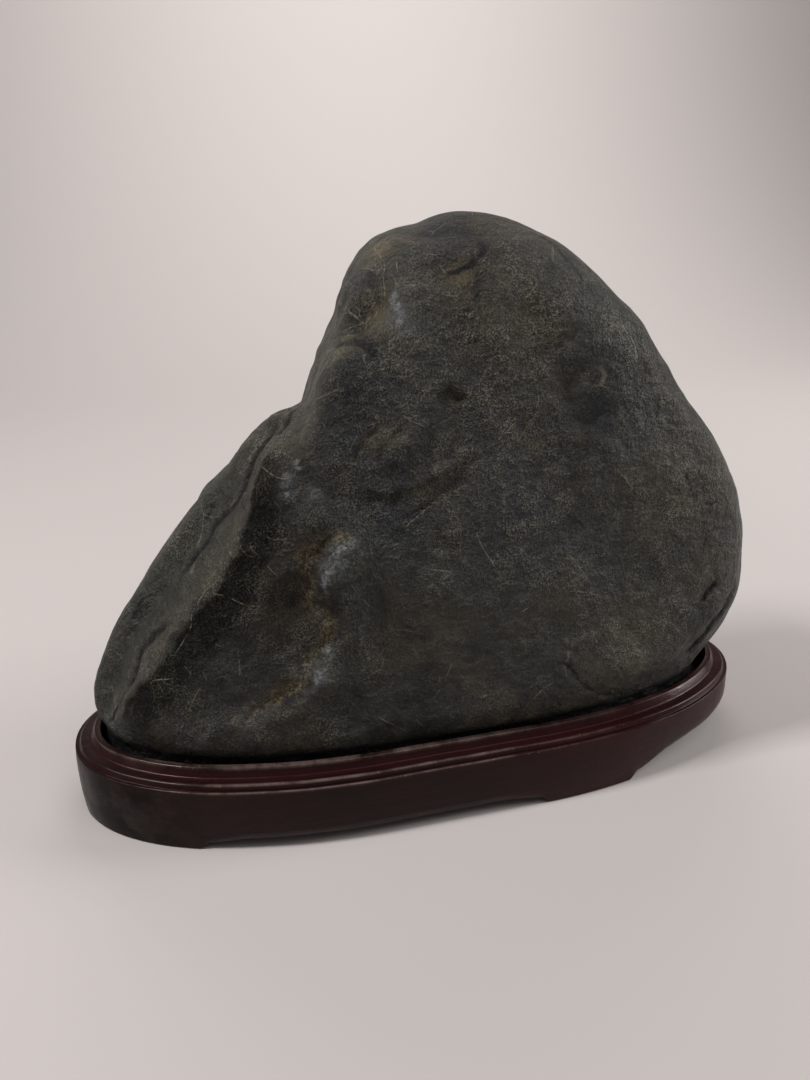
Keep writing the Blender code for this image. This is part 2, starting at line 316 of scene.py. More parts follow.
stoneVeins = (  # thin pale lines
    ((0.6, -35.7, 110.6), (3.4, -36.5, 104), (6.7, -37.5, 96.4), (9.2, -38, 92), (11.7, -38.6, 87.7),
     (15.1, -38.9, 86.6)),
    ((35.6, -39, 91.4), (39.3, -39.4, 87.6)),
    ((34, -40.8, 79.4), (40.3, -40.9, 78.2), (47.8, -40.9, 75.9)),
    ((17.9, -40.5, 72.6), (25.4, -40.5, 77.1)),
    ((21.8, -42.7, 37.7), (27.4, -43.7, 43.4), (34.4, -43.8, 47.8)),
    ((-74.2, -28.3, 90.6), (-78.1, -27, 87.1), (-83.2, -26.6, 79.8), (-84.8, -28, 75.6),
     (-90.5, -27.5, 66.4)),
    ((-78.1, -27, 87.1), (-73.1, -30.2, 86.3), (-67.5, -32.5, 84.1), (-60.2, -34.2, 83)),
    ((-10.3, -37, 90.8), (-3.9, -37.5, 89), (1, -38.3, 84.4)),
    ((-12.7, -12.8, 178.7), (-14.1, -16.5, 176.2), (-13.9, -20, 174.4)),
    ((-14.7, 2.4, 180), (-15.7, -10.7, 177.2), (-17.6, -15.3, 174.1), (-21.1, -20.3, 169),
     (-26, -21.7, 163.6)),
    ((-17.2, -19.8, 172.4), (-10.6, -22.9, 173.9)),
    ((-57.9, -20.3, 122.5), (-54.3, -27.5, 121.3), (-50.2, -29.7, 121.7)),
    ((-98.4, -24.1, 56.6), (-91.2, -29.7, 59.7)),
    ((-89.7, -32.5, 44.7), (-94.2, -26.7, 31)),
    ((54.2, -41.8, 38.8), (63.3, -36.1, 30)),
    ((77.7, -42, 66.9), (87, -41.7, 65.1)),
    ((-24.5, -3, 171), (-26.5, -8, 168), (-26, -13, 167)),
    ((-20, -14, 172), (-23, -17, 169), (-25.5, -16, 167), (-27, -19, 163)),
    ((-31, -14, 159), (-27, -19.5, 161), (-23, -23.5, 163)),
    ((-34, -8, 153), (-32, -15, 155), (-28, -22, 157)),
    ((-25, 8, 167.6), (-27, -4, 165), (-26.9, -15.9, 164.9), (-23.5, -22, 165.2)),
    ((-20.7, -2, 175), (-19, -10, 175.5), (-18.3, -17.1, 172.8), (-20.7, -20.6, 169), (-25, -21.5, 165.5)),
    ((-32.4, -19.9, 156.4), (-34, -21, 153), (-35.9, -21.7, 150.5)),
    ((1.5, -33.7, 124.3), (10, -34, 129), (18, -33.5, 136)),
    ((-27, -34.6, 97), (-16, -35, 106), (-6, -34.8, 114)),
    ((50, -35, 122), (54, -36, 116), (56, -36, 112)),
    ((68, -33, 139), (72, -34, 133)),
    ((48, -26, 160), (53, -27, 154), (55, -29, 149)),
    ((30, 38, 110), (12, 39, 96), (-6, 40, 90)),
    ((70, 40, 100), (58, 42, 70), (52, 43, 48)),
)
stonePatches = {  # soft-edged areas: places and radii
    # blue-grey tone; the small patch at (-21, -6, 172) is painted shade in the head hollow
    "slate": (((-20, -32.5, 123), 6), ((2, -11, 187), 12), ((0, -21, 182), 9), ((-21, -6, 172), 4.5),
              ((-28, -26, 155), 5), ((-30, -33, 112), 9), ((17, -37, 108.6), 16), ((45, -34.5, 137), 8),
              ((-30, -29, 145), 10), ((-35, -31, 131), 9), ((-22, -35, 108), 10), ((60, 38, 90), 18),
              ((-10, 38, 110), 14)),
    "brown": (((-23, -16, 167), 6.5), ((1, -24, 178.5), 8), ((-1, -31.6, 143.2), 3.5), ((-27, -31.5, 131),
                                                                                        3), ((22, -31, 160),
                                                                                             12),
              ((92, -35, 112), 13), ((74, -37, 112), 17), ((-22, -32, 133), 4), ((-10, -34, 117), 4),
              ((60, -40, 60), 14), ((90, -40, 82), 10), ((-53, -35.5, 79), 7), ((24, -34, 127.7), 4),
              ((37.5, -34.8, 130), 3), ((-14, -4, 183), 10), ((14, -12, 188), 10), ((46, -44, 48), 7),
              ((10, -27, 170), 13), ((-20, -25, 161), 6), ((30, 36, 140), 16), ((-50, 38, 70), 12)),
    # rubbed smooth places: a lower roughness, and a painted sheen in the colour
    "polishAndSheen": (((-39.5, -35, 95), 3.4), ((-51.8, -29.9, 118.8), 4), ((-44.8, -32.1, 115.8), 4),
                 ((-50, -37.5, 58), 5), ((-17.5, -25.5, 165), 5), ((-70, -37.3, 46), 7), ((-90, -33, 38),
                                                                                          5)),
    # patches of painted shade on hollows, on the top and on faces turned from the light
    "paintedShadePatch": (((-74, -33, 66), 18), ((-60, -33, 92), 10), ((-46, -30, 124), 8), ((-36, -30, 140), 9),
             ((0, -20, 183.5), 8), ((6, -8, 189), 18), ((-52, -36, 84), 5), ((-28, -20, 160), 5),
             ((-29, -13, 164), 4), ((-19.5, -21, 163), 3), ((-44.5, -35, 91), 3.5), ((-43, -34.5, 98), 3),
             ((-20, -33.5, 115), 3.5), ((-10, -34, 119), 3), ((-25, -32, 127), 3), ((4, -24, 180), 5),
             ((-3, -31.6, 143), 4), ((-20, -41, 36), 16), ((40, -35, 128), 7)),
    "crinkled": (((0, -22, 181), 14), ((-24, -17, 167), 11), ((-48, -29, 122), 10), ((-47, -36, 90), 9),
                 ((-15, -33, 119), 10), ((-55, -37, 62), 9), ((34, -43, 46), 9), ((-72, -31, 84), 11),
                 ((-95, -28, 45), 13), ((-30, -26, 150), 9)),
    "ochre": (((-24, -19, 166), 5.5), ((-31, -20, 157), 5), ((-14, -5, 181), 5), ((1, -24.5, 177), 4),
              ((30, 36, 150), 7)),
    "smooth": (((46, -34.6, 135.8), 8), ((-17.5, -33, 124), 6), ((1, -40, 63), 22), ((22, -42.8, 50), 20),
               ((-20, -38, 45), 24), ((-25, -37, 80), 14), ((-90, -8, 75), 20), ((-70, -10, 105), 14),
               ((-105, -8, 50), 16), ((0, 40, 60), 30)),
}
markReach = 22  # no mark reaches further than this from its path
farOff = 99.0


def wrappedGrid(steps):  # points on the six sides of a box, shared where two sides meet
    corners = []
    for axis in range(3):
        first, second = [other for other in range(3) if other != axis]
        for end in (0, steps[axis]):
            grid = np.zeros((steps[first] + 1, steps[second] + 1, 3), int)
            grid[..., axis] = end
            grid[..., first] = np.arange(steps[first] + 1)[:, None]
            grid[..., second] = np.arange(steps[second] + 1)[None, :]
            corners.append(np.stack([grid[:-1, :-1], grid[1:, :-1], grid[1:, 1:], grid[:-1, 1:]], axis=2))
    corners = np.concatenate([patch.reshape(-1, 3) for patch in corners])
    lattice, index = np.unique(corners, axis=0, return_inverse=True)
    places = 2 * lattice / np.array(steps) - 1
    quads = index.reshape(-1, 4)
    inward = np.sum(faceNormals(places, quads) * places[quads].mean(axis=1), axis=1) < 0
    quads[inward] = quads[inward][:, ::-1]
    return places, quads


def lumpReach(directions, faces):
    total = np.zeros(len(directions))
    for bearing, tilt, distance in faces:
        turn, rise = math.radians(bearing), math.radians(tilt)
        normal = (math.cos(turn) * math.cos(rise), math.sin(turn) * math.cos(rise), math.sin(rise))
        total += np.maximum(0, directions @ np.array(normal) / distance) ** stoneShape["edgeSharpness"]
    return np.maximum(total, 1e-30) ** (-1 / stoneShape["edgeSharpness"])  # never a division by nothing


def seatReach(directions):
    near, far = np.zeros(len(directions)), np.full(len(directions), stoneShape["longestReach"])
    for _ in range(30):  # halve the gap until it no longer shows
        middle = (near + far) / 2
        places = np.array(stoneShape["core"]) + directions * middle[:, None]
        flare = stoneShape["flareAboveRim"] * np.maximum(places[:, 2] - stoneShape["rimTop"], 0)
        beyond = np.maximum(np.abs(places[:, 0]) - stoneShape["seatStraight"], 0)
        halfLength = stoneShape["seatHalfLength"] - stoneShape["seatStraight"] + flare
        wide = np.hypot(beyond / halfLength, places[:, 1] / (stoneShape["seatHalfWidth"] + flare))
        outside = (wide > 1) | (places[:, 2] < stoneShape["seatFloor"])
        far = np.where(outside, middle, far)
        near = np.where(outside, near, middle)
    return near


def stonePlaces(lattice):
    directions = lattice * stoneShape["spread"]
    directions /= np.linalg.norm(directions, axis=1, keepdims=True)
    join, foot = stoneShape["joinSharpness"], stoneShape["footSharpness"]
    lumps = [lumpReach(directions, stoneShape[lump + "Faces"]) for lump in ("summit", "buttress", "slope")]
    joined = sum(lump ** join for lump in lumps) ** (1 / join)
    reach = (joined ** -foot + seatReach(directions) ** -foot) ** (-1 / foot)
    return np.array(stoneShape["core"]) + directions * reach[:, None]


def curvedPath(path, steps=8):  # a smooth line through the given points
    points = np.array(path, float)
    ends = np.vstack([2 * points[0] - points[1], points, 2 * points[-1] - points[-2]])
    drawn = []
    for index in range(len(points) - 1):
        before, start, end, after = ends[index:index + 4]
        for t in np.arange(steps) / steps:
            bend = (2 * before - 5 * start + 4 * end - after) * t ** 2
            twist = (3 * start - before - 3 * end + after) * t ** 3
            drawn.append(0.5 * (2 * start + (end - before) * t + bend + twist))
    drawn.append(points[-1])
    return np.array(drawn)


# signed distance to a path over the surface, and the share of the path's length there
def strokeOffsets(surface, path):
    places, normals = surface
    pinned = []
    for point in np.array(path, float):
        nearest = np.argmin(np.sum((places - point) ** 2, axis=1))
        pinned.append(point + normals[nearest] * ((places[nearest] - point) @ normals[nearest]))
    line = curvedPath(pinned)
    lengths = np.linalg.norm(np.diff(line, axis=0), axis=1)
    reached = np.concatenate([[0], np.cumsum(lengths)]) / lengths.sum()
    signed, along = np.full(len(places), farOff), np.zeros(len(places))
    low, high = line.min(axis=0) - markReach, line.max(axis=0) + markReach
    close = np.flatnonzero(np.all((places > low) & (places < high), axis=1))
    nearest = np.full(len(close), np.inf)
    for index, (start, end) in enumerate(zip(line[:-1], line[1:])):
        run = end - start
        share = np.clip((places[close] - start) @ run / (run @ run), 0, 1)
        away = places[close] - start - share[:, None] * run
        lift = np.sum(away * normals[close], axis=1)
        away -= lift[:, None] * normals[close]
        distance = np.sqrt(np.sum(away ** 2, axis=1) + np.maximum(np.abs(lift) - 3, 0) ** 2)
        closer = distance < nearest
        side = np.where(np.sum(np.cross(run, away) * normals[close], axis=1) < 0, -1, 1)
        nearest = np.where(closer, distance, nearest)
        signed[close] = np.where(closer, side * distance, signed[close])
        runShare = reached[index] + share * (reached[index + 1] - reached[index])
        along[close] = np.where(closer, runShare, along[close])
    return signed, along


def endFade(along, fade=0.15):
    return softStep(0, fade, along) * softStep(0, fade, 1 - along)


# the nearest line's signed offset in line widths, and a mask that fades out round each line
def strokeMask(surface, strokes):
    offset, near = np.full(len(surface[0]), 9.0), np.zeros(len(surface[0]))
    for path, width in strokes:
        signed, along = strokeOffsets(surface, path)
        signed /= width
        mask = softStep(5.0, 2.0, np.abs(signed)) * endFade(along)
        stronger = mask > near
        offset = np.where(stronger, signed, offset)
        near = np.where(stronger, mask, near)
    return offset, near


def moundRise(surface, mound):
    places, normals = surface
    centre, halfAlong, halfUp, turn, rise = mound
    nearest = np.argmin(np.sum((places - centre) ** 2, axis=1))
    away = places - places[nearest]
    along = np.cross((0, 0, 1), normals[nearest])
    along /= np.linalg.norm(along)
    up = np.cross(normals[nearest], along)
    cosine, sine = math.cos(math.radians(turn)), math.sin(math.radians(turn))
    first = (away @ along * cosine + away @ up * sine) / halfAlong
    second = (away @ up * cosine - away @ along * sine) / halfUp
    sameSide = softStep(0.2, 0.6, normals @ normals[nearest])
    return rise * np.exp(-(first ** 2 + second ** 2) ** 1.5) * sameSide


def patchMask(places, patches):
    total = np.zeros(len(places))
    for centre, radius in patches:
        total = np.maximum(total, bell(np.linalg.norm(places - centre, axis=1), radius))
    return total


def buildStone():
    lattice, quads = wrappedGrid(stoneShape["gridSteps"])
    smooth = stonePlaces(lattice)
    normals = pointNormals(smooth, quads)
    wobble = np.zeros_like(smooth)
    for cell, amount, seed in stoneShape["wander"]:
        for axis in range(3):
            wobble[:, axis] += amount * pebbleNoise(smooth, cell, seed + axis)
    surface = (smooth + wobble, normals)  # marks wander a little instead of running true
    ridgeOffset, ridgeAlong = strokeOffsets(surface, ridgePath)
    facet = softStep(1.0, -1.5, ridgeOffset) * softStep(-40, -48, smooth[:, 0]) * endFade(ridgeAlong)
    leftEnd = softStep(0, -45, smooth[:, 0])
    rugged = (0.5 + 0.5 * leftEnd) * (1 - 0.85 * facet)  # the left end is more broken up, but not its facet
    relief = np.zeros(len(smooth))
    for seed, (cell, height) in enumerate(stoneShape["roughness"]):
        relief += height * rugged * pebbleNoise(smooth, cell, 11 + seed)
    scooped = np.abs(pebbleNoise(smooth, stoneShape["scoopCell"], 23))
    relief += stoneShape["scoopDepth"] * rugged * (0.3 - np.minimum(scooped, 0.6))
    for path, shift, sharpness, reach, height in stoneSteps.values():
        signed, along = strokeOffsets(surface, path)
        signed -= shift
        relief += 0.5 * height * np.tanh(signed / sharpness) * bell(signed, reach) * endFade(along)
    for mound in stoneMounds:
        relief += moundRise(surface, mound)
    uneven = 0.75 + 0.5 * pebbleNoise(smooth, 9.0, 51)
    for path, width, depth in (*stoneCracks.values(), *stoneFlutes.values()):
        signed, along = strokeOffsets(surface, path)
        relief -= depth * uneven * bell(signed, width) * endFade(along)
    relief *= softStep(*stoneShape["plainBelow"], smooth[:, 2])  # the hidden seat stays plain
    places = (smooth + normals * relief[:, None]) * mm
    stone = linkedObject("stone_worn", places.tolist(), faces=quads.tolist())

    rustOffset, rustAlong = strokeOffsets(surface, rustPath)
    masks = {
        "facet": facet,
        # painted shade: a dark band right of the ridge, on the face turned away from the light
        "shadedFlank": softStep(0.0, 2.0, ridgeOffset) * softStep(15.0, 8.0, ridgeOffset) * endFade(ridgeAlong),
        "ridgeRub": bell(ridgeOffset + 3, 4) * endFade(ridgeAlong),
        "rustShade": bell(rustOffset - 2.2, 1.1) * endFade(rustAlong),
        "rustStain": bell(rustOffset + 1.5, 4.0) * endFade(rustAlong),
        # painted shadow just above the rim of the stand
        "seatShadow": softStep(*stoneShape["seatShadowBelow"], smooth[:, 2]),
    }
    cracks = [(path, width) for path, width, depth in stoneCracks.values()]
    veins = [(path, stoneShape["veinHalfWidth"]) for path in stoneVeins]
    for name, strokes, share in (("crack", cracks, 1.0), ("vein", veins, 0.23)):
        masks[name + "Offset"], masks[name + "Near"] = strokeMask((smooth + wobble * share, normals), strokes)
    for name, strokes in (("rustLine", stoneSeams), ("glint", stoneGlints)):
        masks[name] = np.zeros(len(smooth))
        for path, width, strength in strokes:
            signed, along = strokeOffsets(surface, path)
            masks[name] = np.maximum(masks[name], strength * bell(signed, width) * endFade(along, 0.06))
    for name, patches in stonePatches.items():
        masks[name] = patchMask(surface[0], patches)
    for name, values in masks.items():
        storeMask(stone, name, values)
    return stone


# water-worn black limestone, hand rubbed: charcoal with brown weathering, a fine sandy grain and a dull sheen
stoneFinish = {
    "charcoal": "#242624",
    "slate": "#181d27",
    "weathered": "#3c3429",
    "facet": "#282822",
    "ochre": "#5a5038",
    # near black for the pits and between the sand grains, and for painted shade in the dark patches and the
    # flank band
    "pitAndShadeDark": "#060606",
    "fleck": "#777364",
    "rubbed": "#3a352e",
    "rust": "#3a2f21",
    "gold": "#7c6f52",
    # a pale blue-grey painted sheen on the rubbed smooth places
    "paintedSheen": "#43474c",
    # the tone of the painted highlights along small crests
    "glint": "#797d81",
    "vein": "#958b73",
    # near black for the crack lines, for the painted shade beside the rust step and for the painted shadow
    # above the rim
    "crackAndShadeDark": "#0b0a09",
    "grainMm": 0.54,  # the real sand is nearer 0.2 mm, too fine to show
    "patchMm": 34.0,  # drifts of weathering
    "mottleMm": 8.0,  # pitting and stains inside them
    "hairlines": ((24.0, 0.19, 0.28), (8.0, 0.14, 0.2)),  # spacing, width and strength
    "roughness": 0.46,
}


def stoneMaterial():  # coarse tones first, then sand, then the marks drawn on the stone
    finish = stoneFinish
    material, tree, shader = startMaterial("water_worn_limestone")
    patchMm, mottleMm = finish["patchMm"], finish["mottleMm"]
    grain = addRecipe(tree, (finish["grainMm"], 3, 0.8))
    mottle = addRecipe(tree, (mottleMm, 5, 0.65))
    # the painted shade of the dark patches and the flank band; it also thins the pale flecks and dulls the
    # surface
    shadeMask = addRecipe(tree, ("MAXIMUM", "shadedFlank", "paintedShadePatch"))
    gloss = addRecipe(tree, ("MAXIMUM", "polishAndSheen", "glint"))
    rough = ("SUBTRACT", 1.0, ("MULTIPLY", "smooth", 0.75))  # less grain where it is rubbed smooth
    sandPatches = ("ADD", ("EASE", (patchMm * 0.6, 3, 0.55), 0.4, 0.6, 0.5), 0.5)
    sandy = addRecipe(tree, ("MULTIPLY", rough, sandPatches))
    speckle = addRecipe(tree, ("MAXIMUM", sandy, "shadedFlank"))
    bright = ("MULTIPLY", ("MULTIPLY", sandy, ("SUBTRACT", 1.0, ("MULTIPLY", shadeMask, 0.6))),
              ("ADD", ("EASE", (6.0, 4, 0.65), 0.42, 0.6, 0.65), 0.35))
    golden = ("MULTIPLY", ("EASE", (5.0, 4, 0.7), 0.36, 0.56, 1.0), ("EASE", (1.2, 5, 0.8), 0.46, 0.6, 0.9))
    layers = [("weathered", ("EASE", (patchMm, 5, 0.62), 0.44, 0.66, 0.6))]
    for tone, area, top in (("slate", "slate", 0.9), ("weathered", "brown", 1.0), ("facet", "facet", 0.8),
                            ("ochre", "ochre", 1.0), ("rubbed", "ridgeRub", 0.8), ("rust", "rustStain", 1.0)):
        layers.append((tone, ("MULTIPLY", area, ("EASE", (mottleMm, 4, 0.65), 0.25, 0.5, top))))
    layers += [
        # painted shade in the dark patches; the mottled pits on the next line are the stone's own
        ("pitAndShadeDark", ("MULTIPLY", "paintedShadePatch", ("EASE", mottle, 0.66, 0.4, 0.85))),
        ("pitAndShadeDark", ("EASE", mottle, 0.5, 0.3, 0.7)),
        # painted shade over the flank band right of the ridge
        ("pitAndShadeDark", ("MULTIPLY", "shadedFlank", ("ADD", ("EASE", mottle, 0.6, 0.4, 0.25), 0.72))),
        ("pitAndShadeDark", ("MULTIPLY", ("EASE", grain, 0.52, 0.37, 0.9), speckle)),  # between the sand grains
        ("fleck", ("MULTIPLY", ("EASE", grain, 0.48, 0.64, 1.0), bright)),  # the grains that catch light
        # painted sheen on the rubbed smooth places
        ("paintedSheen", ("MULTIPLY", "polishAndSheen", ("EASE", (2.5, 4, 0.6), 0.3, 0.7, 0.55))),
        ("gold", ("MULTIPLY", "rustLine", golden)),
        ("crackAndShadeDark", ("MULTIPLY", "rustShade", ("EASE", (5.0, 3, 0.55), 0.35, 0.6, 0.9))),
        # painted highlights along small crests
        ("glint", ("MULTIPLY", "glint", ("EASE", (1.5, 3, 0.65), 0.4, 0.62, 0.7))),
    ]
    place = addNode(tree, "ShaderNodeTexCoord").outputs["Object"]
    for index, (cellMm, widthMm, top) in enumerate(finish["hairlines"]):  # broken edges of wavy cells
        nudge = addNode(tree, "ShaderNodeTexNoise", {"Scale": 1000 / cellMm, "Detail": 2.0, "Vector": place})
        wavy = addNode(tree, "ShaderNodeMix", {"data_type": "VECTOR", 0: 0.25 * cellMm * mm, 4: place,
                                               5: nudge.outputs["Color"]}).outputs[1]
        cells = addNode(tree, "ShaderNodeTexVoronoi", {"feature": "DISTANCE_TO_EDGE", "Scale": 1000 / cellMm,
                                                       "Vector": wavy}).outputs["Distance"]
        seam = ("EASE", cells, widthMm / cellMm, 0.2 * widthMm / cellMm, top)
        layers.append(("vein", ("MULTIPLY", seam, ("EASE", (cellMm * 0.5 + index, 3, 0.6), 0.52, 0.6, 1.0))))
    veinLine = ("EASE", ("ABSOLUTE", "veinOffset"), 0.34, 0.06, 0.5)
    veinLine = ("MULTIPLY", veinLine, ("EASE", (2.2, 3, 0.6), 0.42, 0.56, 1.0))
    crackLine = ("EASE", ("ABSOLUTE", "crackOffset"), 1.6, 0.4, 1.0)
    crackLine = ("MULTIPLY", crackLine, ("EASE", (4.0, 3, 0.6), 0.32, 0.44, 1.0))
    layers += [
        ("vein", ("MULTIPLY", veinLine, "veinNear")),
        ("crackAndShadeDark", ("MULTIPLY", crackLine, "crackNear")),
        # painted shadow just above the rim of the stand
        ("crackAndShadeDark", "seatShadow"),
    ]
    roughness = ("ADD", ("EASE", mottle, 0.3, 0.7, 0.16), finish["roughness"] - 0.08)
    roughness = ("ADD", ("SUBTRACT", roughness, ("MULTIPLY", gloss, 0.24)), ("MULTIPLY", shadeMask, 0.2))
    reflecting = ("SUBTRACT", ("ADD", ("MULTIPLY", gloss, 0.5), 0.5), ("MULTIPLY", "shadedFlank", 0.35))
    bumps = (
        (0.8, 0.5, ("MULTIPLY", grain, speckle)),  # sand
        (1.0, 3.4, (6.0, 6, 0.62)),  # dents
        ("crinkled", 2.2, (2.6, 4, 0.7)),
    )
    shader.inputs["IOR"].default_value = 1.33
    tree.links.new(paintLayers(tree, finish, "charcoal", layers), shader.inputs["Base Color"])
    tree.links.new(addRecipe(tree, roughness), shader.inputs["Roughness"])
    tree.links.new(addRecipe(tree, reflecting), shader.inputs["Specular IOR Level"])
    tree.links.new(stackBumps(tree, bumps), shader.inputs["Normal"])
    return material


stone = buildStone()
stone.data.materials.append(stoneMaterial())
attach(stone, "root")
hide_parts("stone")
print("stone built:", len(stone.data.polygons), "faces")


# the stand: lengths in millimetres, bearings in degrees
standShape = {
    "length": 256.0,
    "width": 98.0,
    "straightHalfLength": 26.0,
    "cornerFullness": 2.12,
    "pathPoints": 900,
    "footSpans": ((-175.0, -155.5), (-58.0, -35.0), (35.0, 58.0), (157.0, 178.5)),
    "footGap": 2.6,
    "endLift": 3.6,
    "apronTop": 23.2,
    "rimTop": 27.7,
    "seatFloor": 15.0,
    "roundSteps": 5,
    "wearBlur": 1.5,
    "arrisBlur": 1.1,
    "arrisHeight": 0.22,
    "apronRound": 4.5,
    "footRound": 0.8,
    "rimFrom": (19.0, 22.0),
    "handCarving": ((40.0, 0.25, 0.12, 71), (14.0, 0.12, 0.07, 81)),  # cell, sideways, upward, seed
}


# the section's corners, from underneath up to the seat: offset from the outline, height and rounding
def standProfile(share, lift=0.0):
    bottom = (standShape["footGap"] + lift) * (1 - share)
    edge = standShape["apronRound"] * (1 - share) + standShape["footRound"] * share + 0.2 * lift
    top, rim = standShape["apronTop"], standShape["rimTop"]
    return (
        (-14.0, standShape["footGap"] + lift, 0.0),
        (-12.0, bottom, 0.3),
        (-0.5 * lift, bottom, edge),
        (0.45, 13.0, 6.0 - 1.2 * lift),
        (0.0, top, 0.7),
        (-1.5, top - 0.7, 0.25),
        (-2.0, top + 1.5, 0.7),
        (-4.6, top + 1.2, 0.8),
        (-5.6, top + 1.4, 0.7),
        (-6.9, rim, 0.5),
        (-9.0, rim, 0.5),
        (-9.6, standShape["seatFloor"], 0.0),
    )


def roundedProfile(corners):  # each corner turned into a short arc
    points = []
    for index, (offset, height, radius) in enumerate(corners):
        here = np.array((offset, height))
        if index in (0, len(corners) - 1):
            points.append(here)
            continue
        before = np.array(corners[index - 1][:2]) - here
        after = np.array(corners[index + 1][:2]) - here
        most = 0.9 if radius > 3 else 0.45  # how much of its two sides an arc may take up
        reach = min(radius, most * np.linalg.norm(before), most * np.linalg.norm(after))
        start = here + before / np.linalg.norm(before) * reach
        end = here + after / np.linalg.norm(after) * reach
        for t in np.arange(standShape["roundSteps"] + 1) / standShape["roundSteps"]:
            points.append((1 - t) ** 2 * start + 2 * t * (1 - t) * here + t ** 2 * end)
    return np.array(points)


def sweepTree():  # sweeps the moulding profile round an oval path
    tree = bpy.data.node_groups.new("mouldedOvalRim", "GeometryNodeTree")
    sockets = {}
    for name, kind in (("Half Length", "Float"), ("Half Width", "Float"), ("Straight", "Float"),
                       ("Corner Power", "Float"), ("Path Points", "Int"), ("Profile", "Object"),
                       ("Lacquer", "Material")):
        socket = tree.interface.new_socket(name=name, in_out="INPUT", socket_type="NodeSocket" + kind)
        sockets[name] = socket.identifier
    tree.interface.new_socket(name="Geometry", in_out="OUTPUT", socket_type="NodeSocketGeometry")
    inputs = addNode(tree, "NodeGroupInput").outputs
    circle = addNode(tree, "GeometryNodeCurvePrimitiveCircle", {"Resolution": 1440, "Radius": 1.0})
    position = addNode(tree, "GeometryNodeInputPosition").outputs[0]
    onCircle = addNode(tree, "ShaderNodeSeparateXYZ", {0: position})
    x, y = onCircle.outputs["X"], onCircle.outputs["Y"]
    length = ("MULTIPLY", ("POWER", ("ABSOLUTE", x), inputs["Corner Power"]), inputs["Half Length"])
    width = ("MULTIPLY", ("POWER", ("ABSOLUTE", y), inputs["Corner Power"]), inputs["Half Width"])
    along = addRecipe(tree, ("MULTIPLY", ("ADD", length, inputs["Straight"]), ("SIGN", x)))
    across = addRecipe(tree, ("MULTIPLY", width, ("SIGN", y)))
    place = addNode(tree, "ShaderNodeCombineXYZ", {"X": along, "Y": across}).outputs[0]
    oval = addNode(tree, "GeometryNodeSetPosition", {"Geometry": circle.outputs[0], "Position": place})
    even = addNode(tree, "GeometryNodeResampleCurve", {
        "Curve": oval.outputs[0], "Count": inputs["Path Points"]})
    upright = addNode(tree, "GeometryNodeSetCurveNormal", {"mode": "Z_UP", "Curve": even.outputs[0]})
    section = addNode(tree, "GeometryNodeObjectInfo", {"Object": inputs["Profile"]}).outputs["Geometry"]
    section = addNode(tree, "GeometryNodeMeshToCurve", {"Mesh": section})
    numbered = []
    for name, curve in (("column", upright), ("row", section)):  # remembers where each point came from
        index = addNode(tree, "GeometryNodeInputIndex").outputs[0]
        numbered.append(addNode(tree, "GeometryNodeStoreNamedAttribute", {
            "data_type": "INT", "domain": "POINT", "Name": name, "Geometry": curve.outputs[0],
            "Value": index}))
    swept = addNode(tree, "GeometryNodeCurveToMesh", {
        "Curve": numbered[0].outputs[0], "Profile Curve": numbered[1].outputs[0]})
    real = addNode(tree, "GeometryNodeRealizeInstances", {"Geometry": swept.outputs[0]})
    coated = addNode(tree, "GeometryNodeSetMaterial", {
        "Geometry": real.outputs[0], "Material": inputs["Lacquer"]})
    addNode(tree, "NodeGroupOutput", {"Geometry": coated.outputs[0]})
    return tree, sockets


def footShare(bearing, outline):  # 1 over a foot, 0 under the apron, easing off in two curves past its ends
    steps = np.linalg.norm(np.roll(outline, -1, axis=0) - outline, axis=1)
    reached = np.cumsum(steps)
    share = np.zeros(len(bearing))
    for first, last in standShape["footSpans"]:
        inside = (bearing > first) & (bearing < last)
        start, end = reached[inside].min(), reached[inside].max()
        depth = np.minimum(reached - start, end - reached)
        share = np.maximum(share, 0.55 * softStep(-3.0, 0.8, depth) + 0.45 * softStep(-18.0, 0.8, depth))
    return share


def rimWear(bearing):  # how far the moulding is rubbed down, most at the two ends
    leftEnd = softStep(150, 168, np.abs(bearing))
    rightEnd = softStep(38, 20, np.abs(bearing))
    return np.clip(0.12 + 0.6 * leftEnd + 0.5 * rightEnd, 0, 1)


def smoothedSection(section, blur):  # each column's profile blurred along its own length, in millimetres
    line = section.mean(axis=0)
    steps = np.linalg.norm(np.diff(line, axis=0), axis=1)
    reached = np.concatenate([[0], np.cumsum(steps)])
    weight = bell(reached[:, None] - reached[None], blur) * np.gradient(reached)[None]
    weight /= weight.sum(axis=1, keepdims=True)
    return np.einsum("ij,cjk->cik", weight, section)


def sweepStand(lacquer, sectionLine):
    shape = standShape
    points = [(offset * mm, -height * mm, 0.0) for offset, height in sectionLine]
    profile = linkedObject("rimProfile", points, [(i, i + 1) for i in range(len(points) - 1)])
    carrier = linkedObject("standCarrier", [])
    sweep = carrier.modifiers.new("Moulding sweep", "NODES")
    sweep.node_group, sockets = sweepTree()
    straight = shape["straightHalfLength"]
    for name, value in (("Half Length", (shape["length"] / 2 - straight) * mm),
                        ("Half Width", shape["width"] / 2 * mm), ("Straight", straight * mm),
                        ("Corner Power", 2 / shape["cornerFullness"]), ("Path Points", shape["pathPoints"]),
                        ("Profile", profile), ("Lacquer", lacquer)):
        sweep[sockets[name]] = value
    evaluated = carrier.evaluated_get(bpy.context.evaluated_depsgraph_get())
    mesh = bpy.data.meshes.new_from_object(evaluated)
    carrier.modifiers.remove(sweep)
    for helper in (carrier, profile):
        bpy.data.objects.remove(helper, do_unlink=True)
    return mesh


def closeEnds(mesh, column, row):  # closes the underside and the seat floor
    bm = bmesh.new()
    bm.from_mesh(mesh)
    bm.verts.ensure_lookup_table()
    for wanted in (0, row.max()):
        loop = np.flatnonzero(row == wanted)
        bm.faces.new([bm.verts[i] for i in loop[np.argsort(column[loop])]])
    bmesh.ops.recalc_face_normals(bm, faces=bm.faces)
    bm.to_mesh(mesh)
    bm.free()


